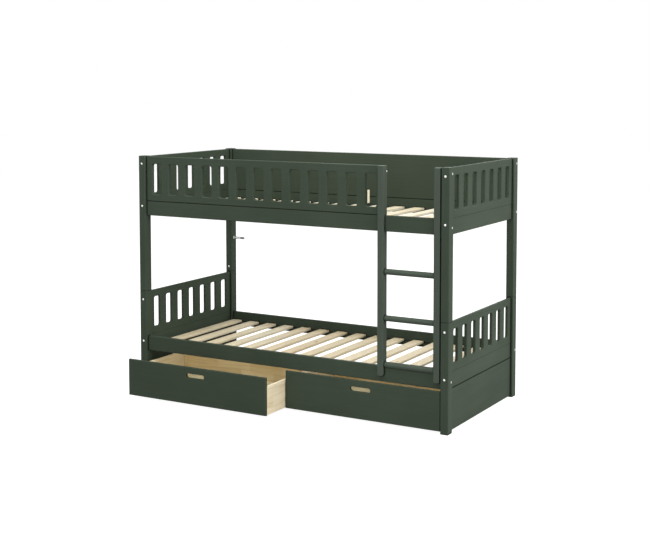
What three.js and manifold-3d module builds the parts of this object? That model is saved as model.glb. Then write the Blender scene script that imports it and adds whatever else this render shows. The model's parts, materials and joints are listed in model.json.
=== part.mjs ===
// A wooden bunk bed with a fixed ladder and two drawers on wheels.
// Millimetres: X runs along the bed, Y from the front to the back, Z up from the floor.
// The left drawer stands pulled out, the right one is shut.

import * as THREE from 'three';
import * as BufferGeometryUtils from 'three/addons/utils/BufferGeometryUtils.js';
import Module from 'manifold-3d';

const wasm = await Module();
wasm.setup();

// Overall sizes, over the posts
const bedLength = 2080;
const bedWidth = 984.5;
const bedHeight = 1443;

// Clearances and allowances that every joint shares
const fitGap = 0.3;
const cutOverrun = 5;
const fusedDepth = 2;
const mergeTolerance = 0.001;

// Posts: squared bars in two lengths, the upper one lined up on the lower one by a dowel
const postWidth = 46.4;
const postDepth = 56.2;
const postEdge = 3;
const postEndEdge = 1.5;
const postJointHeight = 611;
const postDowelRadius = 6;
const postDowelReach = 25;

// Boards of the rails, guards and ends
const boardThickness = 22;
const boardEdge = 3;

// Side rails and the ledges that carry the slats
const railHeight = 88.8;
const railFloorHeight = 242.2;
const ledgeSize = 20;

// Guards round the upper bed, and the cleat that holds the rear guard to its rail
const guardDrop = 3;
const guardHeight = 272.7;
const cleatWidth = 12;
const cleatHeight = 84;
const cleatThickness = 10;
const cleatPlace = 53;

// Upright slots in the front guard and in the end panels
const slotFoot = 42;
const slotCorner = 12;
const guardSlotTopMargin = 45;
const guardSlotWidth = 69.6;
const guardBarWidth = 53.2;
const guardFirstBar = 43.2;
const guardLastBarLeast = 12;
const endSlotTopMargin = 43.5;
const endSlotWidth = 57;
const endBarWidth = 64;
const endBarLeast = 30;

// End panels, with a fine groove at the height of the rail's top edge
const endThickness = 18;
const lowerPanelDrop = 7;
const grooveDepth = 1;

// Boards that close the space under the lower bed at both ends
const endBoardFloorGap = 8;
const endBoardTopGap = 2.2;

// Ladder
const stileWidth = 39;
const stileDepth = 48.6;
const stileEdge = 7;
const stileTopEdge = 3;
const stileFootDrop = 55;
const stileFootCorner = 14;
const ladderPostGap = 6.6;
const ladderClearWidth = 301.5;
const rungRadius = 16.5;
const rungTenonRadius = 10;
const rungTenonLength = 15;
const lowestRungRise = 8;
const rungCount = 3;

// Slats
const slatCount = 15;
const slatWidth = 68;
const slatThickness = 14;
const slatEdge = 1.5;
const slatTopRise = 36;
const slatEndGap = 3;
const slatPostGap = 3.4;
const slatHousing = 2;

// Steel pin on the inner face of the rear left post, about halfway up to the upper rail
const pinHeightShare = 0.4815;
const pinShankRadius = 4;
const pinShankLength = 15;
const pinCollarRadius = 9.5;
const pinCollarLength = 5;
const pinBarRadius = 7.5;
const pinBarLength = 78;
const pinEdge = 1.5;

// Drawer fronts
const drawerGap = 2;
const drawerPlay = 27.2;
const drawerPull = 208;
const drawerDepth = 549;
const frontThickness = 18;
const frontEdge = 2;
const frontFloorGap = 15;
const frontTopGap = 9.2;
const gripLength = 127;
const gripHeight = 26;
const gripDrop = 50.1;

// Drawer boxes
const sideInset = 2;
const sideThickness = 15;
const sideFloorGap = 16;
const sideHeight = 165;
const boxEdge = 1;
const backThickness = 12;
const bottomThickness = 6;
const bottomEdge = 0.5;
const bottomGrooveDepth = 5;

// Two runners glued under each drawer's bottom, inside its side boards
const runnerInset = 20;
const runnerWidth = 18;
const runnerFloorGap = 13;

// Drawer wheels, each on an axle pin that turns in a bore of a runner
const wheelRadius = 25;
const wheelWidth = 14;
const wheelEdge = 1.5;
const wheelHubRadius = 9;
const wheelHubRise = 2;
const wheelHeadroom = 4;
const wheelEndInset = 70;
const axleRadius = 4;
const axleReach = 10;

// Facets on round forms; an arc in an outline gets two for each one named here
const cornerFacets = 2;
const softEdgeFacets = 1;
const gripFacets = 3;
const footFacets = 3;
const dowelFacets = 12;
const rungFacets = 20;
const turnedFacets = 16;
const boreFacets = 12;

const quarterTurn = Math.PI / 2;

// Places that follow from the sizes above
const postX = (bedLength - postWidth) / 2;
const postY = (bedWidth - postDepth) / 2;
const postInnerX = postX - postWidth / 2;
const postInnerY = postY - postDepth / 2;
const boardSpanX = 2 * (postInnerX - fitGap);
const boardSpanY = 2 * (postInnerY - fitGap);
const railInnerY = postY - boardThickness / 2;
const railOuterY = postY + boardThickness / 2;
const guardTop = bedHeight - guardDrop;
const guardBottom = guardTop - guardHeight;
const upperRailTop = guardBottom - fitGap;
const upperRailBottom = upperRailTop - railHeight;
const lowerRailTop = railFloorHeight + railHeight;
const lowerPanelHeight = postJointHeight - lowerPanelDrop - railFloorHeight;
const lowerSlatTop = railFloorHeight + slatTopRise;
const upperSlatTop = upperRailBottom + slatTopRise;
const pinHeight = postJointHeight + pinHeightShare * (upperRailBottom - postJointHeight);
const slatLength = 2 * (railInnerY - slatEndGap);
const slatPitch = (2 * (postInnerX - slatPostGap) - slatWidth) / (slatCount - 1);
const rightStileX = postInnerX - ladderPostGap - stileWidth / 2;
const leftStileX = rightStileX - ladderClearWidth - stileWidth;
const stileY = (stileDepth - bedWidth) / 2;
const stileFootHeight = lowerRailTop - stileFootDrop;
const lowestRungHeight = lowerRailTop + lowestRungRise;
const rungPitch = (upperSlatTop - lowestRungHeight) / rungCount;
const drawerFrontWidth = (2 * postInnerX - drawerPlay - 2 * drawerGap) / 2;
const drawerFrontHeight = railFloorHeight - frontTopGap - frontFloorGap;
const rightDrawerX = postInnerX - drawerGap - drawerFrontWidth / 2;
const leftDrawerX = rightDrawerX - drawerFrontWidth - drawerGap;
const sideX = (drawerFrontWidth - sideThickness) / 2 - sideInset;
const sideInnerX = sideX - sideThickness / 2;
const runnerX = sideInnerX - runnerInset - runnerWidth / 2;
const runnerInnerX = runnerX - runnerWidth / 2;
const bottomUnderside = 2 * wheelRadius + wheelHeadroom;

const paint = new THREE.MeshStandardMaterial({ color: 0x3c463b, roughness: 0.55, metalness: 0 });
const pine = new THREE.MeshStandardMaterial({ color: 0xe0d3b2, roughness: 0.7, metalness: 0 });
const plywood = new THREE.MeshStandardMaterial({ color: 0xd6c39c, roughness: 0.65, metalness: 0 });
const steel = new THREE.MeshStandardMaterial({ color: 0xb4b4b2, roughness: 0.3, metalness: 1 });
const plastic = new THREE.MeshStandardMaterial({ color: 0x2b2c2c, roughness: 0.5, metalness: 0 });

// Merges a geometry's shared vertices and leaves out triangles that shrink to a line.
function closedSurface(geometry) {
  const bare = geometry.clone();
  bare.deleteAttribute('normal');
  bare.deleteAttribute('uv');
  const merged = BufferGeometryUtils.mergeVertices(bare, mergeTolerance);
  const corners = merged.index.array;
  const kept = [];
  for (let i = 0; i < corners.length; i += 3) {
    const [a, b, c] = [corners[i], corners[i + 1], corners[i + 2]];
    if (a !== b && b !== c && c !== a) kept.push(a, b, c);
  }
  merged.setIndex(kept);
  return merged;
}

function toSolid(geometry) {
  const surface = closedSurface(geometry);
  return new wasm.Manifold(new wasm.Mesh({
    numProp: 3,
    vertProperties: new Float32Array(surface.attributes.position.array),
    triVerts: new Uint32Array(surface.index.array),
  }));
}

function toGeometry(solid) {
  const mesh = solid.getMesh();
  const geometry = new THREE.BufferGeometry();
  geometry.setAttribute('position', new THREE.BufferAttribute(mesh.vertProperties, 3));
  geometry.setIndex(new THREE.BufferAttribute(mesh.triVerts, 1));
  geometry.computeVertexNormals();
  return geometry;
}

// Cuts every tool from a geometry.
function cut(geometry, ...tools) {
  let solid = toSolid(geometry);
  for (const tool of tools) solid = solid.subtract(toSolid(tool));
  return toGeometry(solid);
}

// Joins geometries that reach into each other.
function join(geometry, ...others) {
  let solid = toSolid(geometry);
  for (const other of others) solid = solid.add(toSolid(other));
  return toGeometry(solid);
}

// Draws a rectangle round a centre into a shape or a hole, with rounded corners.
function rectangle(path, width, height, radius, centreX = 0, centreY = 0) {
  const right = centreX + width / 2;
  const left = centreX - width / 2;
  const top = centreY + height / 2;
  const bottom = centreY - height / 2;
  path.moveTo(left + radius, bottom);
  path.lineTo(right - radius, bottom);
  if (radius > 0) path.absarc(right - radius, bottom + radius, radius, -quarterTurn, 0);
  path.lineTo(right, top - radius);
  if (radius > 0) path.absarc(right - radius, top - radius, radius, 0, quarterTurn);
  path.lineTo(left + radius, top);
  if (radius > 0) path.absarc(left + radius, top - radius, radius, quarterTurn, 2 * quarterTurn);
  path.lineTo(left, bottom + radius);
  if (radius > 0) path.absarc(left + radius, bottom + radius, radius, 2 * quarterTurn, 3 * quarterTurn);
  return path;
}

// Keeps what two geometries share.
function common(geometry, other) {
  return toGeometry(toSolid(geometry).intersect(toSolid(other)));
}

// Extrudes an outline from the origin along Z, with both end faces eased.
function easedPrism(outline, length, edge, curveSegments) {
  const geometry = new THREE.ExtrudeGeometry(outline, {
    depth: length - 2 * edge,
    curveSegments,
    bevelEnabled: true,
    bevelThickness: edge,
    bevelSize: edge,
    bevelOffset: -edge,
    bevelSegments: 1,
  });
  return geometry.translate(0, 0, edge);
}

// Makes a board that lies flat, centred on the origin, with the holes cut right through.
function flatBoard(width, height, thickness, edge, holes = [], curveSegments = cornerFacets) {
  const outline = rectangle(new THREE.Shape(), width, height, 0);
  outline.holes.push(...holes);
  return easedPrism(outline, thickness, edge, curveSegments).translate(0, 0, -thickness / 2);
}

// Makes a flat board that butts against its neighbours: its ends are cut square, and all other
// edges are eased.
function buttedBoard(length, height, thickness, holes = []) {
  const tooLong = flatBoard(length + 2 * boardEdge, height, thickness, boardEdge, holes);
  const kept = new THREE.BoxGeometry(length, height + 2 * cutOverrun, thickness + 2 * cutOverrun);
  return common(tooLong, kept);
}

// Stands a flat board up, its width along X and its height along Z.
function standAlongX(geometry) {
  return geometry.rotateX(quarterTurn);
}

// Stands a flat board up, its width along Y and its height along Z.
function standAlongY(geometry) {
  return geometry.rotateX(quarterTurn).rotateZ(quarterTurn);
}

// Makes a box from its three sizes and its centre.
function box(width, depth, height, x, y, z) {
  return new THREE.BoxGeometry(width, depth, height).translate(x, y, z);
}

// Turns a profile of [radius, place along X] pairs round the X axis.
function turnedAlongX(profile, facets) {
  const points = profile.map(([radius, place]) => new THREE.Vector2(radius, place));
  return new THREE.LatheGeometry(points, facets).rotateZ(-quarterTurn);
}

// Makes a round bar along X, centred on the origin.
function roundBar(radius, length, facets) {
  return turnedAlongX([
    [0, -length / 2],
    [radius, -length / 2],
    [radius, length / 2],
    [0, length / 2],
  ], facets);
}

function addPiece(parent, name, geometry, material, x, y, z) {
  const piece = new THREE.Mesh(geometry, material);
  piece.name = name;
  piece.position.set(x, y, z);
  parent.add(piece);
}

// Posts

function postBar(height) {
  const section = rectangle(new THREE.Shape(), postWidth, postDepth, postEdge);
  return easedPrism(section, height, postEndEdge, softEdgeFacets);
}

function uprightDowel(radius, bottom, top) {
  const dowel = new THREE.CylinderGeometry(radius, radius, top - bottom, dowelFacets);
  return dowel.rotateX(quarterTurn).translate(0, 0, (bottom + top) / 2);
}

function lowerPost() {
  const dowel = uprightDowel(
    postDowelRadius,
    postJointHeight - postDowelReach,
    postJointHeight + postDowelReach,
  );
  return join(postBar(postJointHeight), dowel);
}

// The upper post stands on its own origin; its foot is bored for the lower post's dowel.
function upperPost(carriesPin) {
  const footHeight = postJointHeight + fitGap;
  const dowelBore = uprightDowel(postDowelRadius + fitGap, -cutOverrun, postDowelReach + fitGap);
  const bores = [dowelBore];
  if (carriesPin) {
    const pinBore = roundBar(pinShankRadius + fitGap, 2 * (pinShankLength + fitGap), boreFacets);
    bores.push(pinBore.translate(postWidth / 2, 0, pinHeight - footHeight));
  }
  return cut(postBar(bedHeight - footHeight), ...bores);
}

function addPosts(bed) {
  for (const [depthName, sideY] of [['front', -1], ['rear', 1]]) {
    for (const [sideName, side] of [['left', -1], ['right', 1]]) {
      const corner = `${depthName}_${sideName}`;
      const carriesPin = corner === 'rear_left';
      const place = [side * postX, sideY * postY];
      addPiece(bed, `post_lower_${corner}`, lowerPost(), paint, ...place, 0);
      addPiece(bed, `post_upper_${corner}`, upperPost(carriesPin), paint, ...place, postJointHeight + fitGap);
    }
  }
}

// Rails, guards and their cleat

function sideBoard(length, height, holes = []) {
  return standAlongX(buttedBoard(length, height, boardThickness, holes));
}

// A lower rail carries the ledge for its slats; inward is the way to the bed's middle along Y.
function lowerRail(inward) {
  const ledgeTop = slatTopRise - slatThickness - fitGap - railHeight / 2;
  const ledge = box(
    boardSpanX,
    ledgeSize + fusedDepth,
    ledgeSize,
    0,
    inward * (boardThickness + ledgeSize - fusedDepth) / 2,
    ledgeTop - ledgeSize / 2,
  );
  return join(sideBoard(boardSpanX, railHeight), ledge);
}

function slotHole(width, height, x, z) {
  return rectangle(new THREE.Path(), width, height, slotCorner, x, z);
}

// Upright slots in a row from a first centre, for a board centred on its own origin.
function slotRow(count, firstX, pitch, width, height, z) {
  return Array.from({ length: count }, (_, i) => slotHole(width, height, firstX + i * pitch, z));
}

function frontGuard(length) {
  const pitch = guardSlotWidth + guardBarWidth;
  const count = Math.floor((length - guardFirstBar - guardLastBarLeast + guardBarWidth) / pitch);
  const firstX = -length / 2 + guardFirstBar + guardSlotWidth / 2;
  const slotHeight = guardHeight - guardSlotTopMargin - slotFoot;
  const slotZ = (slotFoot - guardSlotTopMargin) / 2;
  return sideBoard(length, guardHeight, slotRow(count, firstX, pitch, guardSlotWidth, slotHeight, slotZ));
}

// The cleat is fixed to the guard and passes the rail below it at a small gap.
function rearGuard() {
  const faceY = -boardThickness / 2;
  const seamZ = -guardHeight / 2;
  const cleat = box(
    cleatWidth,
    cleatThickness - fitGap,
    cleatHeight,
    cleatPlace,
    faceY - (cleatThickness + fitGap) / 2,
    seamZ,
  );
  const root = box(
    cleatWidth,
    fitGap + 2 * fusedDepth,
    cleatHeight / 2 - boardEdge,
    cleatPlace,
    faceY - fitGap / 2,
    seamZ + (cleatHeight / 2 + boardEdge) / 2,
  );
  return join(sideBoard(boardSpanX, guardHeight), cleat, root);
}

function addSides(bed) {
  const railCentre = railHeight / 2;
  const guardCentre = guardBottom + guardHeight / 2;
  const guardLeft = -postInnerX + fitGap;
  const guardRight = leftStileX - stileWidth / 2 - fitGap;
  const guardMiddle = (guardLeft + guardRight) / 2;
  addPiece(bed, 'rail_lower_front', lowerRail(1), paint, 0, -postY, railFloorHeight + railCentre);
  addPiece(bed, 'rail_lower_rear', lowerRail(-1), paint, 0, postY, railFloorHeight + railCentre);
  const upperRail = sideBoard(boardSpanX, railHeight);
  addPiece(bed, 'rail_upper_front', upperRail, paint, 0, -postY, upperRailBottom + railCentre);
  addPiece(bed, 'rail_upper_rear', upperRail, paint, 0, postY, upperRailBottom + railCentre);
  addPiece(bed, 'guard_front', frontGuard(guardRight - guardLeft), paint, guardMiddle, -postY, guardCentre);
  addPiece(bed, 'guard_rear', rearGuard(), paint, 0, postY, guardCentre);
}

// Ends

// A panel with a row of slots above its groove; the groove lies at the rail's height in it.
function endPanel(height) {
  const pitch = endSlotWidth + endBarWidth;
  const count = Math.floor((boardSpanY - 2 * endBarLeast + endBarWidth) / pitch);
  const firstX = -pitch * (count - 1) / 2;
  const slotHeight = height - railHeight - endSlotTopMargin - slotFoot;
  const slotZ = (railHeight + slotFoot - endSlotTopMargin) / 2;
  const slots = slotRow(count, firstX, pitch, endSlotWidth, slotHeight, slotZ);
  const panel = standAlongY(buttedBoard(boardSpanY, height, endThickness, slots));
  const grooveZ = railHeight - height / 2;
  const grooves = [-1, 1].map((face) => {
    const groove = new THREE.CylinderGeometry(grooveDepth, grooveDepth, boardSpanY + 2 * cutOverrun, 4);
    return groove.translate(face * endThickness / 2, 0, grooveZ);
  });
  return cut(panel, ...grooves);
}

function addEnds(bed) {
  const upperPanelHeight = guardTop - upperRailBottom;
  const upperPanel = endPanel(upperPanelHeight);
  const lowerPanel = endPanel(lowerPanelHeight);
  const endBoardHeight = railFloorHeight - endBoardTopGap - endBoardFloorGap;
  const endBoard = standAlongY(buttedBoard(boardSpanY, endBoardHeight, endThickness));
  for (const [sideName, side] of [['left', -1], ['right', 1]]) {
    const x = side * postX;
    const upperZ = upperRailBottom + upperPanelHeight / 2;
    const lowerZ = railFloorHeight + lowerPanelHeight / 2;
    const boardZ = endBoardFloorGap + endBoardHeight / 2;
    addPiece(bed, `end_panel_upper_${sideName}`, upperPanel, paint, x, 0, upperZ);
    addPiece(bed, `end_panel_lower_${sideName}`, lowerPanel, paint, x, 0, lowerZ);
    addPiece(bed, `end_board_${sideName}`, endBoard, paint, x, 0, boardZ);
  }
}

// Ladder

// The front view of a stile: square at the top, rounded at its foot.
function stileOutline(height) {
  const half = stileWidth / 2;
  const outline = new THREE.Shape();
  outline.moveTo(half, stileFootCorner);
  outline.lineTo(half, height - stileTopEdge);
  outline.lineTo(half - stileTopEdge, height);
  outline.lineTo(stileTopEdge - half, height);
  outline.lineTo(-half, height - stileTopEdge);
  outline.lineTo(-half, stileFootCorner);
  outline.absarc(stileFootCorner - half, stileFootCorner, stileFootCorner, -2 * quarterTurn, -quarterTurn);
  outline.lineTo(half - stileFootCorner, 0);
  outline.absarc(half - stileFootCorner, stileFootCorner, stileFootCorner, -quarterTurn, 0);
  return outline;
}

// A stile stands on its own origin. It is notched from behind for both rails, and bored for
// the rungs on the side that faces the ladder's middle.
function stile(inward) {
  const height = guardTop - stileFootHeight;
  const section = rectangle(new THREE.Shape(), stileWidth, stileDepth, stileEdge);
  const bar = easedPrism(section, height, stileTopEdge, cornerFacets);
  const front = new THREE.ExtrudeGeometry(stileOutline(height), {
    depth: stileDepth + 2 * cutOverrun,
    curveSegments: footFacets,
    bevelEnabled: false,
  });
  front.translate(0, 0, -stileDepth / 2 - cutOverrun).rotateX(quarterTurn);
  const railFaceY = -railOuterY - stileY - fitGap;
  const notchDepth = stileDepth + cutOverrun;
  const notchY = railFaceY + notchDepth / 2;
  const upperNotchHeight = railHeight + 2 * fitGap;
  const upperNotchZ = upperRailBottom + railHeight / 2 - stileFootHeight;
  const lowerNotchHeight = stileFootDrop + fitGap + cutOverrun;
  const lowerNotchZ = stileFootDrop + fitGap - lowerNotchHeight / 2;
  let solid = toSolid(bar).intersect(toSolid(front));
  const notchWidth = stileWidth + 2 * cutOverrun;
  solid = solid.subtract(toSolid(box(notchWidth, notchDepth, upperNotchHeight, 0, notchY, upperNotchZ)));
  solid = solid.subtract(toSolid(box(notchWidth, notchDepth, lowerNotchHeight, 0, notchY, lowerNotchZ)));
  for (let i = 0; i < rungCount; i += 1) {
    const bore = roundBar(rungTenonRadius + fitGap, 2 * (rungTenonLength + fitGap), rungFacets);
    bore.translate(inward * stileWidth / 2, 0, lowestRungHeight + i * rungPitch - stileFootHeight);
    solid = solid.subtract(toSolid(bore));
  }
  return toGeometry(solid);
}

function rung() {
  const shoulder = ladderClearWidth / 2 - fitGap;
  const tip = ladderClearWidth / 2 + rungTenonLength;
  return turnedAlongX([
    [0, -tip],
    [rungTenonRadius, -tip],
    [rungTenonRadius, -shoulder],
    [rungRadius, -shoulder],
    [rungRadius, shoulder],
    [rungTenonRadius, shoulder],
    [rungTenonRadius, tip],
    [0, tip],
  ], rungFacets);
}

// The lowest rung is rebated to sit over the lower rail.
function lowestRung() {
  const rebate = box(
    ladderClearWidth + 2 * (rungTenonLength + cutOverrun),
    boardThickness + 2 * fitGap,
    railHeight,
    0,
    -postY - stileY,
    fitGap - lowestRungRise - railHeight / 2,
  );
  return cut(rung(), rebate);
}

function addLadder(bed) {
  addPiece(bed, 'ladder_stile_left', stile(1), paint, leftStileX, stileY, stileFootHeight);
  addPiece(bed, 'ladder_stile_right', stile(-1), paint, rightStileX, stileY, stileFootHeight);
  const rungX = (leftStileX + rightStileX) / 2;
  for (let i = 0; i < rungCount; i += 1) {
    const geometry = i === 0 ? lowestRung() : rung();
    addPiece(bed, `ladder_rung_${i + 1}`, geometry, paint, rungX, stileY, lowestRungHeight + i * rungPitch);
  }
}

// Slats

function slatX(i) {
  return slatPitch * (i - (slatCount - 1) / 2);
}

function slat() {
  return flatBoard(slatWidth, slatLength, slatThickness, slatEdge);
}

// The upper bed's slats are fixed in housings of the two ledges that they lie on.
function upperSlats() {
  const ledgeTop = slatHousing - slatThickness / 2;
  const ledgeY = railInnerY - fitGap - ledgeSize / 2;
  const ledges = [-1, 1].map((side) => (
    box(boardSpanX, ledgeSize, ledgeSize, 0, side * ledgeY, ledgeTop - ledgeSize / 2)
  ));
  const slats = Array.from({ length: slatCount }, (_, i) => slat().translate(slatX(i), 0, 0));
  return join(...ledges, ...slats);
}

function addSlats(bed) {
  const lowerSlat = slat();
  for (let i = 0; i < slatCount; i += 1) {
    const number = String(i + 1).padStart(2, '0');
    addPiece(bed, `slat_lower_${number}`, lowerSlat, pine, slatX(i), 0, lowerSlatTop - slatThickness / 2);
  }
  addPiece(bed, 'slats_upper', upperSlats(), pine, 0, 0, upperSlatTop - slatThickness / 2);
}

// Steel pin, screwed into the rear left post

function addPin(bed) {
  const barEnd = pinCollarLength + pinBarLength;
  const pin = turnedAlongX([
    [0, -pinShankLength],
    [pinShankRadius, -pinShankLength],
    [pinShankRadius, fitGap],
    [pinCollarRadius, fitGap],
    [pinCollarRadius, pinCollarLength - pinEdge],
    [pinCollarRadius - pinEdge, pinCollarLength],
    [pinBarRadius, pinCollarLength],
    [pinBarRadius, barEnd - pinEdge],
    [pinBarRadius - pinEdge, barEnd],
    [0, barEnd],
  ], turnedFacets);
  addPiece(bed, 'post_pin', pin, steel, -postInnerX, postY, pinHeight);
}

// Drawers. A drawer's own origin lies on the floor, below the middle of its front's outer face.

const boxLength = drawerDepth - frontThickness - fitGap;
const wheelYs = [frontThickness + wheelEndInset, drawerDepth - wheelEndInset];

function drawerFront() {
  const gripZ = drawerFrontHeight / 2 - gripDrop;
  const grip = rectangle(new THREE.Path(), gripLength, gripHeight, gripHeight / 2, 0, gripZ);
  const board = standAlongX(
    flatBoard(drawerFrontWidth, drawerFrontHeight, frontThickness, frontEdge, [grip], gripFacets),
  );
  const groove = box(
    2 * (sideInnerX + bottomGrooveDepth + fitGap),
    2 * (bottomGrooveDepth + fitGap),
    bottomThickness + 2 * fitGap,
    0,
    frontThickness / 2,
    bottomUnderside + bottomThickness / 2 - frontFloorGap - drawerFrontHeight / 2,
  );
  return cut(board, groove);
}

// A side board, centred on its own origin, with the bottom's groove in the face that looks to
// the drawer's middle.
function drawerSide(inward) {
  const board = standAlongY(flatBoard(boxLength, sideHeight, sideThickness, boxEdge));
  const groove = box(
    2 * (bottomGrooveDepth + fitGap),
    boxLength + 2 * cutOverrun,
    bottomThickness + 2 * fitGap,
    inward * sideThickness / 2,
    0,
    bottomUnderside + bottomThickness / 2 - sideFloorGap - sideHeight / 2,
  );
  return cut(board, groove);
}

// The bottom panel, centred on its own origin, with the runners under it. A runner's axle bores
// are in the face that looks to the drawer's middle.
function drawerBottom(width, length) {
  const middleY = drawerDepth - length / 2;
  const middleZ = bottomUnderside + bottomThickness / 2;
  const runnerHeight = bottomUnderside + fusedDepth - runnerFloorGap;
  const runnerY = drawerDepth - boxLength / 2 - middleY;
  const runnerZ = runnerFloorGap + runnerHeight / 2 - middleZ;
  const runners = [];
  const bores = [];
  for (const side of [-1, 1]) {
    const runner = standAlongY(flatBoard(boxLength, runnerHeight, runnerWidth, boxEdge));
    runners.push(runner.translate(side * runnerX, runnerY, runnerZ));
    for (const wheelY of wheelYs) {
      const bore = roundBar(axleRadius + fitGap, 2 * (axleReach + fitGap), boreFacets);
      bores.push(bore.translate(side * runnerInnerX, wheelY - middleY, wheelRadius - middleZ));
    }
  }
  const panel = flatBoard(width, length, bottomThickness, bottomEdge);
  return cut(join(panel, ...runners), ...bores);
}

// A wheel's own origin lies on its axis, in the plane of the runner's inner face.
function drawerWheel() {
  const start = fitGap + wheelHubRise;
  const end = start + wheelWidth;
  return turnedAlongX([
    [0, -axleReach],
    [axleRadius, -axleReach],
    [axleRadius, fitGap],
    [wheelHubRadius, fitGap],
    [wheelHubRadius, start],
    [wheelRadius - wheelEdge, start],
    [wheelRadius, start + wheelEdge],
    [wheelRadius, end - wheelEdge],
    [wheelRadius - wheelEdge, end],
    [0, end],
  ], turnedFacets);
}

function addDrawer(bed, name, x, pulled) {
  const drawer = new THREE.Group();
  drawer.position.set(x, -bedWidth / 2 - pulled, 0);
  bed.add(drawer);

  const frontZ = frontFloorGap + drawerFrontHeight / 2;
  addPiece(drawer, `${name}_front`, drawerFront(), paint, 0, frontThickness / 2, frontZ);

  const sideY = (frontThickness + fitGap + drawerDepth) / 2;
  const sideZ = sideFloorGap + sideHeight / 2;
  addPiece(drawer, `${name}_side_left`, drawerSide(1), pine, -sideX, sideY, sideZ);
  addPiece(drawer, `${name}_side_right`, drawerSide(-1), pine, sideX, sideY, sideZ);

  const backBottom = bottomUnderside + bottomThickness + fitGap;
  const backHeight = sideFloorGap + sideHeight - backBottom;
  const backWidth = 2 * (sideInnerX - fitGap);
  const backZ = backBottom + backHeight / 2;
  const back = standAlongX(flatBoard(backWidth, backHeight, backThickness, boxEdge));
  addPiece(drawer, `${name}_back`, back, pine, 0, drawerDepth - backThickness / 2, backZ);

  const bottomWidth = 2 * (sideInnerX + bottomGrooveDepth);
  const bottomLength = drawerDepth - frontThickness + bottomGrooveDepth;
  const bottom = drawerBottom(bottomWidth, bottomLength);
  const bottomZ = bottomUnderside + bottomThickness / 2;
  addPiece(drawer, `${name}_bottom`, bottom, plywood, 0, drawerDepth - bottomLength / 2, bottomZ);

  let number = 1;
  for (const side of [-1, 1]) {
    for (const wheelY of wheelYs) {
      const wheel = side < 0 ? drawerWheel() : drawerWheel().rotateZ(2 * quarterTurn);
      addPiece(drawer, `${name}_wheel_${number}`, wheel, plastic, side * runnerInnerX, wheelY, wheelRadius);
      number += 1;
    }
  }
}

// The group is shifted so that its origin lies on the floor, below the middle of everything,
// the pulled drawer included.
const bed = new THREE.Group();
bed.position.set(0, drawerPull / 2, 0);
addPosts(bed);
addSides(bed);
addEnds(bed);
addLadder(bed);
addSlats(bed);
addPin(bed);
addDrawer(bed, 'drawer_left', leftDrawerX, drawerPull);
addDrawer(bed, 'drawer_right', rightDrawerX, 0);

export default bed;
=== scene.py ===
import json
import math

import bmesh
import bpy
from mathutils import Matrix, Vector


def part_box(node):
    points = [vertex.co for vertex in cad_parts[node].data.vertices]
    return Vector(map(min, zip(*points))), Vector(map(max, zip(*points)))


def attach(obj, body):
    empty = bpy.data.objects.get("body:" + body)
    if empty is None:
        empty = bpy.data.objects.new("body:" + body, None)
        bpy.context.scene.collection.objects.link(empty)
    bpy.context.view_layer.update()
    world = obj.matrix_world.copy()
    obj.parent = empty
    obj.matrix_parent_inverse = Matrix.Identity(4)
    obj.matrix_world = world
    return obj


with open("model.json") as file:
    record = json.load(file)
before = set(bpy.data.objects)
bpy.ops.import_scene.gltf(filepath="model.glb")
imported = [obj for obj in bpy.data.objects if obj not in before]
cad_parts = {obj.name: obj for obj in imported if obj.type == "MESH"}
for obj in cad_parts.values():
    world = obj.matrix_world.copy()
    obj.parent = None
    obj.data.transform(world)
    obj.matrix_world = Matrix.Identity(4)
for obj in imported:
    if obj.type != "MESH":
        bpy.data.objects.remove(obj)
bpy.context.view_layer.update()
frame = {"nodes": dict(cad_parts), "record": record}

MM = 0.001
AXES = "xyz"
WHITE = (1, 1, 1, 1)

# The camera, as the photograph was taken: a picture of 650 by 551 pixels
PHOTO_WIDTH = 650
PHOTO_HEIGHT = 551
FOCAL_PIXELS = 1240.735
CENTRE_PIXEL = (334.135, 165.965)
SENSOR_WIDTH = 36.0
CAMERA_FROM_BED = Vector((3754.9, -6478.2, 1912.6)) * MM
CAMERA_YAW = math.radians(29.723)
CAMERA_PITCH = math.radians(-4.02)
CAMERA_REACH = 100.0

# The bed's middle in the frame: the pulled drawer moves the whole part's middle forward
REAR_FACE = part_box("post_upper_rear_left")[1].y
FRONT_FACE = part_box("post_upper_front_left")[0].y
BED_MIDDLE_Y = (REAR_FACE + FRONT_FACE) / 2
BED_MIDDLE = Vector((0, BED_MIDDLE_Y, 0))


def put_in_scene(thing):
    bpy.context.scene.collection.objects.link(thing)


def make_camera():
    data = bpy.data.cameras.new("camera")
    data.sensor_width = SENSOR_WIDTH
    data.sensor_fit = "HORIZONTAL"
    data.lens = FOCAL_PIXELS * SENSOR_WIDTH / PHOTO_WIDTH
    data.shift_x = (PHOTO_WIDTH / 2 - CENTRE_PIXEL[0]) / PHOTO_WIDTH
    data.shift_y = (CENTRE_PIXEL[1] - PHOTO_HEIGHT / 2) / PHOTO_WIDTH
    data.clip_end = CAMERA_REACH
    camera = bpy.data.objects.new("camera", data)
    camera.location = BED_MIDDLE + CAMERA_FROM_BED
    camera.rotation_euler = (math.pi / 2 + CAMERA_PITCH, 0, CAMERA_YAW)
    put_in_scene(camera)
    bpy.context.scene.camera = camera


# Light

AMBIENT_STRENGTH = 0.43
LIT_POINT = BED_MIDDLE + Vector((0, 0, 0.7))

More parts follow.
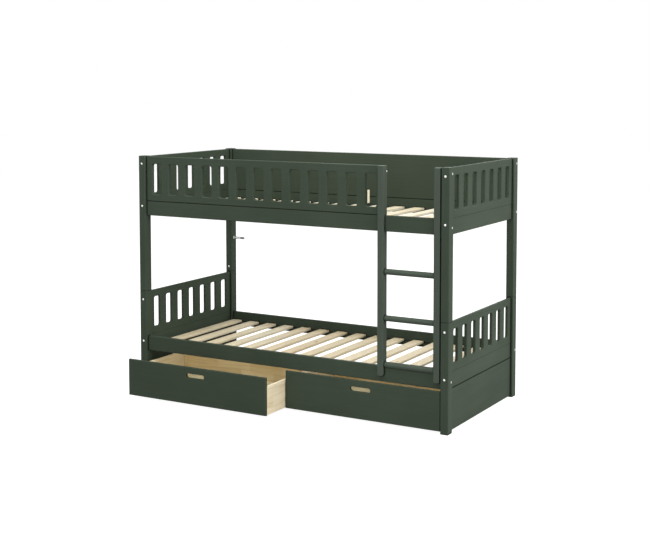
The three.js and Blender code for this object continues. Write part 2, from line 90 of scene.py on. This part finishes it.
# Each lamp's place from the bed's middle on the floor, its width and height in metres, and its watts
LAMPS = {
    "front_top": ((0.3, -1.8, 4.4), 4.5, 2.5, 159),
    "right_top": ((3.4, -0.6, 4.2), 3.0, 3.0, 109),
    "right_rear": ((5.0, 3.5, 3.0), 3.0, 3.0, 97),
    "right_low": ((7.0, -1.0, 1.2), 4.0, 2.0, 183),
    "front_low": ((1.0, -7.0, 1.2), 5.0, 2.0, 83),
    "front_left": ((-1.5, -6.0, 2.8), 4.0, 3.0, 43),
    "rear": ((-1.5, 6.0, 2.6), 4.0, 3.0, 80),
    "left": ((-6.0, 0.5, 2.4), 3.5, 3.0, 80),
}


def area_light(name, place, width, height, power):
    data = bpy.data.lights.new(name, "AREA")
    data.shape = "RECTANGLE"
    data.size = width
    data.size_y = height
    data.energy = power
    lamp = bpy.data.objects.new(name, data)
    lamp.location = place
    lamp.rotation_mode = "QUATERNION"
    lamp.rotation_quaternion = (LIT_POINT - place).to_track_quat("-Z", "Y")
    put_in_scene(lamp)


def make_lights():
    for name, (place, width, height, power) in LAMPS.items():
        area_light(name, BED_MIDDLE + Vector(place), width, height, power)


# Background and floor

FLOOR_HALF = 14.0
FLOOR_GREY = (0.35, 0.35, 0.35, 1)
FLOOR_GLOW = 0.94


def seen_directly(nodes, links):
    """A value of 1 for rays of the camera, of gloss and through glass, and 0 for all others."""
    path = nodes.new("ShaderNodeLightPath")
    seen = path.outputs["Is Camera Ray"]
    for other in ("Is Glossy Ray", "Is Transmission Ray"):
        larger = nodes.new("ShaderNodeMath")
        larger.operation = "MAXIMUM"
        links.new(seen, larger.inputs[0])
        links.new(path.outputs[other], larger.inputs[1])
        seen = larger.outputs[0]
    return seen


def glowing(nodes, kind, strength):
    """A white background or emission of a strength."""
    made = nodes.new(kind)
    made.inputs["Color"].default_value = WHITE
    made.inputs["Strength"].default_value = strength
    return made.outputs[0]


def make_world():
    """White where it is seen, and dimmer as the light that reaches the bed from all round."""
    world = bpy.data.worlds.new("studio")
    world.use_nodes = True
    bpy.context.scene.world = world
    nodes = world.node_tree.nodes
    links = world.node_tree.links
    nodes.clear()
    mix = nodes.new("ShaderNodeMixShader")
    output = nodes.new("ShaderNodeOutputWorld")
    links.new(seen_directly(nodes, links), mix.inputs["Fac"])
    links.new(glowing(nodes, "ShaderNodeBackground", AMBIENT_STRENGTH), mix.inputs[1])
    links.new(glowing(nodes, "ShaderNodeBackground", 1.0), mix.inputs[2])
    links.new(mix.outputs[0], output.inputs["Surface"])


def floor_material():
    """White to the camera, with the bed's soft shadow left on it."""
    material = bpy.data.materials.new("floor")
    material.use_nodes = True
    nodes = material.node_tree.nodes
    links = material.node_tree.links
    nodes.clear()
    matt = nodes.new("ShaderNodeBsdfDiffuse")
    matt.inputs["Color"].default_value = FLOOR_GREY
    shown = nodes.new("ShaderNodeAddShader")
    mix = nodes.new("ShaderNodeMixShader")
    output = nodes.new("ShaderNodeOutputMaterial")
    links.new(glowing(nodes, "ShaderNodeEmission", FLOOR_GLOW), shown.inputs[0])
    links.new(matt.outputs[0], shown.inputs[1])
    links.new(seen_directly(nodes, links), mix.inputs["Fac"])
    links.new(matt.outputs[0], mix.inputs[1])
    links.new(shown.outputs[0], mix.inputs[2])
    links.new(mix.outputs[0], output.inputs["Surface"])
    return material


def make_floor():
    mesh = bpy.data.meshes.new("floor")
    corners = [(x * FLOOR_HALF, y * FLOOR_HALF, 0) for x, y in ((-1, -1), (1, -1), (1, 1), (-1, 1))]
    mesh.from_pydata(corners, [], [(0, 1, 2, 3)])
    mesh.materials.append(floor_material())
    floor = bpy.data.objects.new("floor", mesh)
    put_in_scene(floor)


# Materials: the grain runs along one axis of the frame, which is the board's length

EDGE_SAMPLES = 6
PAINTED_SHADE_SAMPLES = 8

# How well the rounded normal agrees with the face's own, on a flat face and on an edge
AGREES_ON_FACE = 0.999
AGREES_ON_EDGE = 0.93

# How much open space a point sees, on an open face and in a narrow seam: where the paint's painted shade is
# none and where it is full
OPEN_ON_FACE = 0.97
OPEN_IN_SEAM = 0.66

# The heights that a noise mostly keeps between
NOISE_SPAN = (0.3, 0.7)


class Shader:
    """A material with a Principled shader, and short ways to add and join nodes."""

    def __init__(self, name, specular=0.5, metallic=0.0):
        self.material = bpy.data.materials.new(name)
        self.material.use_nodes = True
        self.tree = self.material.node_tree
        self.main = self.tree.nodes["Principled BSDF"]
        self.main.inputs["Specular IOR Level"].default_value = specular
        self.main.inputs["Metallic"].default_value = metallic

    def node(self, kind, **inputs):
        made = self.tree.nodes.new(kind)
        for name, value in inputs.items():
            self.put(made.inputs[name], value)
        return made

    def put(self, socket, value):
        if isinstance(value, bpy.types.NodeSocket):
            self.tree.links.new(value, socket)
        else:
            socket.default_value = value

    def finish(self, colour, roughness, normal):
        self.put(self.main.inputs["Base Color"], colour)
        self.put(self.main.inputs["Roughness"], roughness)
        self.put(self.main.inputs["Normal"], normal)
        return self.material

    def place(self, scale):
        """The surface's own place, in metres, multiplied by a scale for each axis."""
        coordinates = self.node("ShaderNodeTexCoord")
        mapping = self.node("ShaderNodeMapping", Vector=coordinates.outputs["Object"])
        mapping.inputs["Scale"].default_value = scale
        return mapping.outputs[0]

    def part(self, axis):
        """The surface's own place along one axis, in metres."""
        split = self.node("ShaderNodeSeparateXYZ", Vector=self.place([1, 1, 1]))
        return split.outputs[AXES.index(axis)]

    def noise(self, scale, detail, roughness=0.5, distortion=0.0):
        made = self.node("ShaderNodeTexNoise", Vector=self.place(scale), Scale=1.0)
        made.inputs["Detail"].default_value = detail
        made.inputs["Roughness"].default_value = roughness
        made.inputs["Distortion"].default_value = distortion
        return made.outputs["Fac"]

    def chance(self, number):
        """A value from 0 to 1 that stays the same for the same number."""
        made = self.node("ShaderNodeTexWhiteNoise")
        made.noise_dimensions = "1D"
        self.put(made.inputs["W"], number)
        return made.outputs["Value"]

    def math(self, operation, first, second=0.0):
        made = self.node("ShaderNodeMath")
        made.operation = operation
        self.put(made.inputs[0], first)
        self.put(made.inputs[1], second)
        return made.outputs[0]

    def spread(self, value, low, high, to_low=0.0, to_high=1.0):
        """The value stretched so that low becomes to_low and high becomes to_high."""
        made = self.node("ShaderNodeMapRange", Value=value)
        made.inputs["From Min"].default_value = low
        made.inputs["From Max"].default_value = high
        made.inputs["To Min"].default_value = to_low
        made.inputs["To Max"].default_value = to_high
        return made.outputs[0]

    def blend(self, factor, first, second, kind="MIX"):
        made = self.node("ShaderNodeMix")
        made.data_type = "RGBA"
        made.blend_type = kind
        self.put(made.inputs[0], factor)
        self.put(made.inputs[6], first)
        self.put(made.inputs[7], second)
        return made.outputs[2]

    def bump(self, height, strength, distance, normal=None):
        made = self.node("ShaderNodeBump", Height=height)
        made.inputs["Strength"].default_value = strength
        made.inputs["Distance"].default_value = distance
        if normal is not None:
            self.put(made.inputs["Normal"], normal)
        return made.outputs[0]

    def rounded(self, radius):
        """The normal as if every edge were rounded with a radius."""
        made = self.node("ShaderNodeBevel")
        made.samples = EDGE_SAMPLES
        made.inputs["Radius"].default_value = radius
        return made.outputs[0]

    def on_edge(self, rounded):
        """A mask that is 1 on the edges that a rounded normal belongs to, and 0 on flat faces."""
        geometry = self.node("ShaderNodeNewGeometry")
        across = self.node("ShaderNodeVectorMath")
        across.operation = "DOT_PRODUCT"
        self.put(across.inputs[0], rounded)
        self.put(across.inputs[1], geometry.outputs["True Normal"])
        return self.spread(across.outputs["Value"], AGREES_ON_FACE, AGREES_ON_EDGE)

    def painted_shade_mask(self, reach):
        """A mask of painted shade from ambient occlusion: 1 in narrow seams and inner corners and 0 on open
        faces.
        """
        shelter = self.node("ShaderNodeAmbientOcclusion", Distance=reach)
        shelter.samples = PAINTED_SHADE_SAMPLES
        return self.spread(shelter.outputs["AO"], OPEN_ON_FACE, OPEN_IN_SEAM)


def stretched(axis, along, across):
    """A scale for each axis: one value along the board's length and another across it."""
    scale = [across] * 3
    scale[AXES.index(axis)] = along
    return scale


def linear(red, green, blue):
    """A colour written as in a picture file, from 0 to 255, as the shader's linear colour."""
    def channel(value):
        share = value / 255
        return share / 12.92 if share <= 0.04045 else ((share + 0.055) / 1.055) ** 2.4
    return (channel(red), channel(green), channel(blue), 1.0)


def shaded(colour, share):
    """A linear colour that is darker than the one written, or lighter with a share above 1."""
    return linear(*(share * value for value in colour))


# Paint: each scale is in ripples per metre, along the grain and across it

PAINT_SPECULAR = 0.03
PAINT_FIBRE_SCALE = (3.0, 150.0)
PAINT_RING_SCALE = (1.2, 22.0)
PAINT_CLOUD_SCALE = [2.2, 2.2, 2.2]
PAINT_CLOUD_SPAN = (0.35, 0.65)
PAINT_EDGE = 2.2 * MM
PORE_SPAN = (0.4, 0.62)
PORE_AMOUNT = 0.2
PORE_SHADE = 0.9
# Lighter edges: partly rubbed paint and partly a painted highlight along the rounded edges
RUB_AND_HIGHLIGHT_AMOUNT = 0.2
RUB_AND_HIGHLIGHT_TONE = 1.12
# Painted shade: the paint is darkened in seams and inner corners, as shade falls there
PAINTED_SHADE_REACH = 9 * MM
PAINTED_SHADE_AMOUNT = 0.9
PAINTED_SHADE_TONE = 0.3
PAINT_ROUGHNESS = (0.46, 0.58)
PAINT_RING_HEIGHT = 0.8
PAINT_RELIEF = (0.1, 0.4 * MM)

# The deeper and the paler tone of each paint
BED_GREEN = ((56, 65, 54), (61, 70, 59))
LADDER_GREEN = ((67, 75, 66), (72, 81, 71))


def paint(name, axis, deep, pale):
    """Matt paint on planed wood whose grain shows faintly, lighter on edges as rubbed paint and a painted
    highlight, and darker in seams as painted shade.
    """
    shader = Shader(f"{name}_{axis}", PAINT_SPECULAR)
    fibre = shader.noise(stretched(axis, *PAINT_FIBRE_SCALE), detail=4.0, roughness=0.6)
    rings = shader.noise(stretched(axis, *PAINT_RING_SCALE), detail=2.0, distortion=0.4)
    cloud = shader.noise(PAINT_CLOUD_SCALE, detail=2.0)
    normal = shader.rounded(PAINT_EDGE)
    base = shader.blend(shader.spread(cloud, *PAINT_CLOUD_SPAN), linear(*deep), linear(*pale))
    in_pores = shader.spread(fibre, *PORE_SPAN, 0.0, PORE_AMOUNT)
    grained = shader.blend(in_pores, base, shaded(deep, PORE_SHADE))
    # Edges lighter: rubbed paint and a painted highlight
    rub_and_highlight = shader.math("MULTIPLY", shader.on_edge(normal), RUB_AND_HIGHLIGHT_AMOUNT)
    with_rub_and_highlight = shader.blend(rub_and_highlight, grained, shaded(pale, RUB_AND_HIGHLIGHT_TONE))
    # Painted shade in seams and inner corners
    painted_shade_share = shader.math("MULTIPLY", shader.painted_shade_mask(PAINTED_SHADE_REACH), PAINTED_SHADE_AMOUNT)
    coat = shader.blend(painted_shade_share, with_rub_and_highlight, shaded(deep, PAINTED_SHADE_TONE))
    relief = shader.math("ADD", fibre, shader.math("MULTIPLY", rings, PAINT_RING_HEIGHT))
    return shader.finish(
        coat,
        shader.spread(rings, *NOISE_SPAN, *PAINT_ROUGHNESS),
        shader.bump(relief, *PAINT_RELIEF, normal),
    )


# Bare wood: each scale is in ripples per metre, along the grain and across it

WOOD_SPECULAR = 0.3
WOOD_SWELL_SCALE = (0.9, 13.0)
WOOD_FIBRE_SCALE = (5.0, 420.0)
WOOD_CLOUD_SCALE = (1.5, 6.0)
KNOT_CELL_SCALE = (4.0, 10.0)
RING_TURNS = 52.0
RING_SPAN = (0.1, 1.0)
RING_AMOUNT = 0.34
WOOD_RING_HEIGHT = 0.3
FIBRE_SPAN = (0.42, 0.7)
FIBRE_AMOUNT = 0.22
FIBRE_COLOUR = (186, 154, 108)
KNOT_EDGE = 0.085
KNOT_HEART = 0.035
KNOT_COLOUR = (150, 106, 64)
DARKEST_BOARD = (220, 206, 176)
WOOD_EDGE = 1.2 * MM
WOOD_ROUGHNESS = (0.62, 0.5)
WOOD_RELIEF = (0.2, 0.3 * MM)

# Glued strips: their length and width, and the step that keeps the numbers of two rows apart
GLUED_STRIP = (0.24, 0.055)
ROW_STEP = 7.3


class Wood:
    """A bare wood: three tones, how much its boards differ, and the size of its glued strips.

    Each board of a row has a number of its own, which picks its tone from the shader's chance
    values. The middle board's is middle_number, and the others count up and down from it.
    """

    def __init__(self, name, pale, warm, deep, uneven=0.45, strips=None, middle_number=0):
        self.name = name
        self.pale = pale
        self.warm = warm
        self.deep = deep
        self.uneven = uneven
        self.strips = strips
        self.middle_number = middle_number


# Not a chance pick: this number was searched for among about 6000, because its run of tones, with
# paler slats at the bed's ends, makes up for most of the difference between the render and the
# photograph along the lower slats. Part of that difference is the light's and not the wood's.
# So this run of tones is partly painted light: paler slats towards the bed's ends
LOWER_SLATS_NUMBER = 2567

UPPER_PINE = Wood("upper_pine", (233, 230, 212), (228, 220, 195), (211, 192, 155))
# A darker copy of the upper slats' pine: painted shade under the upper bed
LOWER_SLATS_SHADED_PINE = Wood(
    "lower_pine", (227, 219, 193), (222, 209, 179), (204, 183, 144), middle_number=LOWER_SLATS_NUMBER
)
BOX_PINE = Wood("box_pine", (237, 228, 202), (230, 216, 183), (209, 184, 138), 0.3, GLUED_STRIP)
BACK_PINE = Wood("back_pine", (242, 227, 189), (235, 214, 167), (211, 178, 121), 0.6, GLUED_STRIP)
PLYWOOD = Wood("plywood", (223, 217, 185), (217, 208, 173), (202, 188, 149))


def board_number(shader, across, pitch, middle_number):
    """A whole number for each board of a row, for half a pitch to each side of its middle."""
    pitches = shader.math("DIVIDE", shader.part(across), pitch)
    return shader.math("FLOOR", shader.math("ADD", pitches, middle_number + 0.5))


def strip_number(shader, axis, across, length, width):
    """A number for each glued strip of a board, whose joints are shifted from row to row."""
    row = shader.math("FLOOR", shader.math("DIVIDE", shader.part(across), width))
    shift = shader.math("MULTIPLY", shader.chance(row), length)
    shifted = shader.math("ADD", shader.part(axis), shift)
    column = shader.math("FLOOR", shader.math("DIVIDE", shifted, length))
    return shader.math("ADD", column, shader.math("MULTIPLY", row, ROW_STEP))


def bare_wood(wood, axis, across, pitch=None):
    """Bare planed wood: growth rings as long contour lines, fine fibre and a few small knots.

    Glued strips differ in tone, and so do boards that lie in a row at a pitch.
    """
    shader = Shader(f"{wood.name}_{axis}{across}", WOOD_SPECULAR)
    swell = shader.noise(stretched(axis, *WOOD_SWELL_SCALE), detail=2.0, roughness=0.45, distortion=0.25)
    waves = shader.math("SINE", shader.math("MULTIPLY", swell, RING_TURNS))
    rings = shader.spread(waves, *RING_SPAN)
    fibre = shader.noise(stretched(axis, *WOOD_FIBRE_SCALE), detail=3.0, roughness=0.6)
    cloud = shader.noise(stretched(axis, *WOOD_CLOUD_SCALE), detail=2.0)
    base = shader.blend(shader.spread(cloud, *NOISE_SPAN), linear(*wood.pale), linear(*wood.warm))
    ringed = shader.blend(shader.math("MULTIPLY", rings, RING_AMOUNT), base, linear(*wood.deep))
    in_fibre = shader.spread(fibre, *FIBRE_SPAN, 0.0, FIBRE_AMOUNT)
    fibred = shader.blend(in_fibre, ringed, linear(*FIBRE_COLOUR))
    cell_place = shader.place(stretched(axis, *KNOT_CELL_SCALE))
    cells = shader.node("ShaderNodeTexVoronoi", Vector=cell_place, Scale=1.0)
    in_knot = shader.spread(cells.outputs["Distance"], KNOT_EDGE, KNOT_HEART)
    colour = shader.blend(in_knot, fibred, linear(*KNOT_COLOUR))
    if wood.strips is not None:
        number = strip_number(shader, axis, across, *wood.strips)
    elif pitch is not None:
        number = board_number(shader, across, pitch, wood.middle_number)
    else:
        number = None
    if number is not None:
        tone = shader.spread(shader.chance(number), 0.0, 1.0, 0.0, wood.uneven)
        colour = shader.blend(tone, colour, linear(*DARKEST_BOARD), "MULTIPLY")
    relief = shader.math("ADD", fibre, shader.math("MULTIPLY", rings, WOOD_RING_HEIGHT))
    return shader.finish(
        colour,
        shader.spread(rings, 0.0, 1.0, *WOOD_ROUGHNESS),
        shader.bump(relief, *WOOD_RELIEF, shader.rounded(WOOD_EDGE)),
    )


# Steel and plastic

STEEL_TONES = ((188, 188, 187), (214, 214, 212))
STEEL_DARK = (112, 113, 112)
STEEL_ROUGHNESS = (0.3, 0.45)
STEEL_RELIEF = (0.15, 0.1 * MM)
TURNED_SCALE = [2600.0, 40.0, 40.0]

# The two tones of each plastic, and how rough it is
BLACK_PLASTIC = ((38, 39, 40), (50, 51, 52), 0.5)
PALE_PLASTIC = ((216, 221, 214), (226, 230, 223), 0.5)
WHITE_PLASTIC = ((226, 228, 224), (236, 238, 234), 0.4)
GREY_PLASTIC = ((168, 172, 166), (180, 184, 178), 0.45)
SKIN_SCALE = [900.0, 900.0, 900.0]
PLASTIC_CLOUD_SCALE = [60.0, 60.0, 60.0]
SKIN_UNEVEN = 0.06
SKIN_RELIEF = (0.12, 0.05 * MM)


def steel(dark_from, dark_to):
    """Dull turned steel with fine rings of the tool, darker at the far end of the bar."""
    shader = Shader("turned_steel", metallic=1.0)
    turned = shader.noise(TURNED_SCALE, detail=2.0)
    bright = shader.blend(turned, *(linear(*tone) for tone in STEEL_TONES))
    dark = shader.spread(shader.part("x"), dark_from, dark_to)
    return shader.finish(
        shader.blend(dark, bright, linear(*STEEL_DARK)),
        shader.spread(turned, *NOISE_SPAN, *STEEL_ROUGHNESS),
        shader.bump(turned, *STEEL_RELIEF),
    )


def moulded(name, darker, lighter, roughness):
    """Moulded plastic with a fine, slightly uneven skin."""
    shader = Shader(name)
    skin = shader.noise(SKIN_SCALE, detail=2.0)
    cloud = shader.noise(PLASTIC_CLOUD_SCALE, detail=2.0)
    return shader.finish(
        shader.blend(cloud, linear(*darker), linear(*lighter)),
        shader.spread(skin, *NOISE_SPAN, roughness - SKIN_UNEVEN, roughness + SKIN_UNEVEN),
        shader.bump(skin, *SKIN_RELIEF),
    )


# Dressing of the CAD nodes

SMOOTH_ANGLE = math.radians(50)
FACE_WEIGHT = 90
PIN_DARK_END = 25 * MM
PIN_DARK_FADE = 3 * MM
PIN_COLLAR_END = 20 * MM
LEDGE_SIZE = 20 * MM
PANEL_THICKNESS = 6 * MM
HAIR = 0.1 * MM


def soften(node):
    """Shades eased edges smoothly and keeps the large faces flat; no vertex moves."""
    mesh = node.data
    mesh.shade_smooth()
    mesh.set_sharp_from_angle(angle=SMOOTH_ANGLE)
    normals = node.modifiers.new("normals", "WEIGHTED_NORMAL")
    normals.keep_sharp = True
    normals.weight = FACE_WEIGHT


def dress(node, *materials):
    node.data.materials.clear()
    for material in materials:
        node.data.materials.append(material)
    soften(node)


def finish_faces(node, chosen):
    """Gives a node's faces its second material where chosen(centre) says so."""
    for face in node.data.polygons:
        face.material_index = 1 if chosen(face.center) else 0


def grain_axis(name):
    """The frame axis along which a node is longest, which is the way its grain runs."""
    low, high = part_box(name)
    size = high - low
    return AXES[max(range(3), key=lambda i: size[i])]


def dress_painted(nodes, names):
    """Paint on every painted node; the ladder's is a shade lighter than the bed's."""
    bed_paints = {axis: paint("green_paint", axis, *BED_GREEN) for axis in AXES}
    ladder_paints = {axis: paint("ladder_paint", axis, *LADDER_GREEN) for axis in "xz"}
    cleat_pine = bare_wood(UPPER_PINE, "z", "x")
    for name in names:
        paints = ladder_paints if name.startswith("ladder") else bed_paints
        dress(nodes[name], paints[grain_axis(name)], cleat_pine)


def dress_slats(nodes, names):
    """Bare slats, each a little different, the lower ones in a darker pine as painted shade under the upper
    bed; the upper ones' ledges are painted like the rails.
    """
    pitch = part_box("slat_lower_02")[0].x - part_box("slat_lower_01")[0].x
    lower_pine = bare_wood(LOWER_SLATS_SHADED_PINE, "y", "x", pitch)
    upper_pine = bare_wood(UPPER_PINE, "y", "x", pitch)
    ledge_paint = paint("ledge_paint", "x", *BED_GREEN)
    for name in names:
        dress(nodes[name], upper_pine if name == "slats_upper" else lower_pine, ledge_paint)
    low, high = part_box("slats_upper")
    ledge_top = low.z + LEDGE_SIZE + HAIR
    ledge_inner = high.y - BED_MIDDLE_Y - LEDGE_SIZE - HAIR

    def on_ledge(centre):
        return centre.z < ledge_top and abs(centre.y - BED_MIDDLE_Y) > ledge_inner

    finish_faces(nodes["slats_upper"], on_ledge)


def dress_drawers(nodes, boards, bottoms):
    """Drawer boxes of glued pine strips, warmer at the back, with a plywood bottom on runners."""
    side_pine = bare_wood(BOX_PINE, "y", "z")
    back_pine = bare_wood(BACK_PINE, "x", "z")
    plywood = bare_wood(PLYWOOD, "x", "y")
    for name in boards:
        dress(nodes[name], back_pine if name.endswith("back") else side_pine)
    for name in bottoms:
        dress(nodes[name], plywood, side_pine)
        panel_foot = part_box(name)[1].z - PANEL_THICKNESS
        finish_faces(nodes[name], lambda centre: centre.z < panel_foot - HAIR)


def dress_cleat(nodes):
    """The small cleat on the rear wall of the upper bed is bare wood."""
    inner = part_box("rail_upper_rear")[0].y
    finish_faces(nodes["guard_rear"], lambda centre: centre.y < inner - HAIR)


def dress_pin(nodes):
    """A steel pin with a pale collar at the post."""
    low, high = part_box("post_pin")
    dark_to = high.x - PIN_DARK_END
    dress(nodes["post_pin"], steel(dark_to - PIN_DARK_FADE, dark_to), moulded("pale_collar", *PALE_PLASTIC))
    finish_faces(nodes["post_pin"], lambda centre: centre.x < low.x + PIN_COLLAR_END + HAIR)


def dress_nodes():
    nodes = frame["nodes"]
    by_slot = {}
    for row in frame["record"]["subparts"]:
        by_slot.setdefault(row["material_slot"], []).append(row["node"])
    slats = [name for name in by_slot["bare_pine"] if name.startswith("slat")]
    boxes = [name for name in by_slot["bare_pine"] if name not in slats]
    dress_painted(nodes, by_slot["green_paint"])
    dress_slats(nodes, slats)
    dress_drawers(nodes, boxes, by_slot["plywood"])
    wheel_plastic = moulded("black_plastic", *BLACK_PLASTIC)
    for name in by_slot["black_plastic"]:
        dress(nodes[name], wheel_plastic)
    dress_cleat(nodes)
    dress_pin(nodes)


# Bolt caps: small pale discs that close the bolt holes, at heights above the floor

CAP_RADIUS = 6.5 * MM
CAP_RISE = 2.2 * MM
END_CAP_RISE = 1.2 * MM
END_CAP_SHIFT = 12 * MM
STILE_CAP_RADIUS = 5 * MM
STILE_CAP_SHIFT = 15 * MM
FRONT_CAP_HEIGHTS = [1395 * MM, 1136 * MM, 558 * MM, 300 * MM]
END_CAP_HEIGHTS = [1408 * MM, 1118.5 * MM, 282 * MM]
STILE_CAP_HEIGHT = 1408 * MM
REAR_LEFT_CAP_HEIGHT = 641 * MM
PIN_SIDE_NUB_HEIGHT = 838 * MM
DOME_RINGS = 4
DOME_SIDES = 24


def ring_of_points(mesh, radius, height):
    turns = (2 * math.pi * i / DOME_SIDES for i in range(DOME_SIDES))
    return [mesh.verts.new((radius * math.cos(turn), radius * math.sin(turn), height)) for turn in turns]


def dome(name, place, direction, radius, rise, material):
    """A shallow dome that sits on a face, turned to look along a direction."""
    mesh = bmesh.new()
    rings = []
    for number in range(DOME_RINGS):
        lean = (math.pi / 2) * number / DOME_RINGS
        rings.append(ring_of_points(mesh, radius * math.cos(lean), rise * math.sin(lean)))
    tip = mesh.verts.new((0, 0, rise))
    for inner, outer in zip(rings[1:], rings[:-1]):
        for i in range(DOME_SIDES):
            j = (i + 1) % DOME_SIDES
            mesh.faces.new((outer[i], outer[j], inner[j], inner[i]))
    for i in range(DOME_SIDES):
        mesh.faces.new((rings[-1][i], rings[-1][(i + 1) % DOME_SIDES], tip))
    mesh.faces.new(list(reversed(rings[0])))
    turned = Vector(direction).to_track_quat("Z", "Y").to_matrix().to_4x4()
    mesh.transform(Matrix.Translation(place) @ turned)
    data = bpy.data.meshes.new(name)
    mesh.to_mesh(data)
    mesh.free()
    data.materials.append(material)
    data.shade_smooth()
    made = bpy.data.objects.new(name, data)
    put_in_scene(made)
    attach(made, "bed_frame")


def front_and_rear_caps():
    """Places and directions on the posts' front and rear faces."""
    for depth, out in (("front", -1), ("rear", 1)):
        for side in ("left", "right"):
            low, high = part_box(f"post_upper_{depth}_{side}")
            y = low.y if out < 0 else high.y
            for height in FRONT_CAP_HEIGHTS:
                yield Vector(((low.x + high.x) / 2, y, height)), (0, out, 0)


def end_caps():
    """Places and directions on the posts' outer end faces."""
    for depth in ("front", "rear"):
        for side, out in (("left", -1), ("right", 1)):
            low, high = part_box(f"post_upper_{depth}_{side}")
            x = low.x if out < 0 else high.x
            for height in END_CAP_HEIGHTS:
                yield Vector((x, (low.y + high.y) / 2 + END_CAP_SHIFT, height)), (out, 0, 0)


def stile_cap():
    """The place and direction on the left ladder stile's inner face."""
    low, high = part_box("ladder_stile_left")
    return Vector((high.x, (low.y + high.y) / 2 + STILE_CAP_SHIFT, STILE_CAP_HEIGHT)), (1, 0, 0)


def inner_caps():
    """Places and directions of the nub across from the pin, and of the cap below the pin."""
    low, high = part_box("post_upper_rear_right")
    yield Vector((low.x, (low.y + high.y) / 2, PIN_SIDE_NUB_HEIGHT)), (-1, 0, 0)
    low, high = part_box("post_upper_rear_left")
    yield Vector(((low.x + high.x) / 2, low.y, REAR_LEFT_CAP_HEIGHT)), (0, -1, 0)


def make_caps():
    white = moulded("white_plastic", *WHITE_PLASTIC)
    grey = moulded("grey_plastic", *GREY_PLASTIC)
    caps = [(place, out, CAP_RADIUS, CAP_RISE, white) for place, out in front_and_rear_caps()]
    caps += [(place, out, CAP_RADIUS, END_CAP_RISE, grey) for place, out in end_caps()]
    caps.append((*stile_cap(), STILE_CAP_RADIUS, CAP_RISE, white))
    caps += [(place, out, CAP_RADIUS, CAP_RISE, white) for place, out in inner_caps()]
    for number, (place, out, radius, rise, material) in enumerate(caps, 1):
        dome(f"bolt_cap_{number:02d}", place, out, radius, rise, material)


make_camera()
make_world()
make_lights()
make_floor()
dress_nodes()
make_caps()

bpy.context.scene.view_settings.view_transform = "Standard"
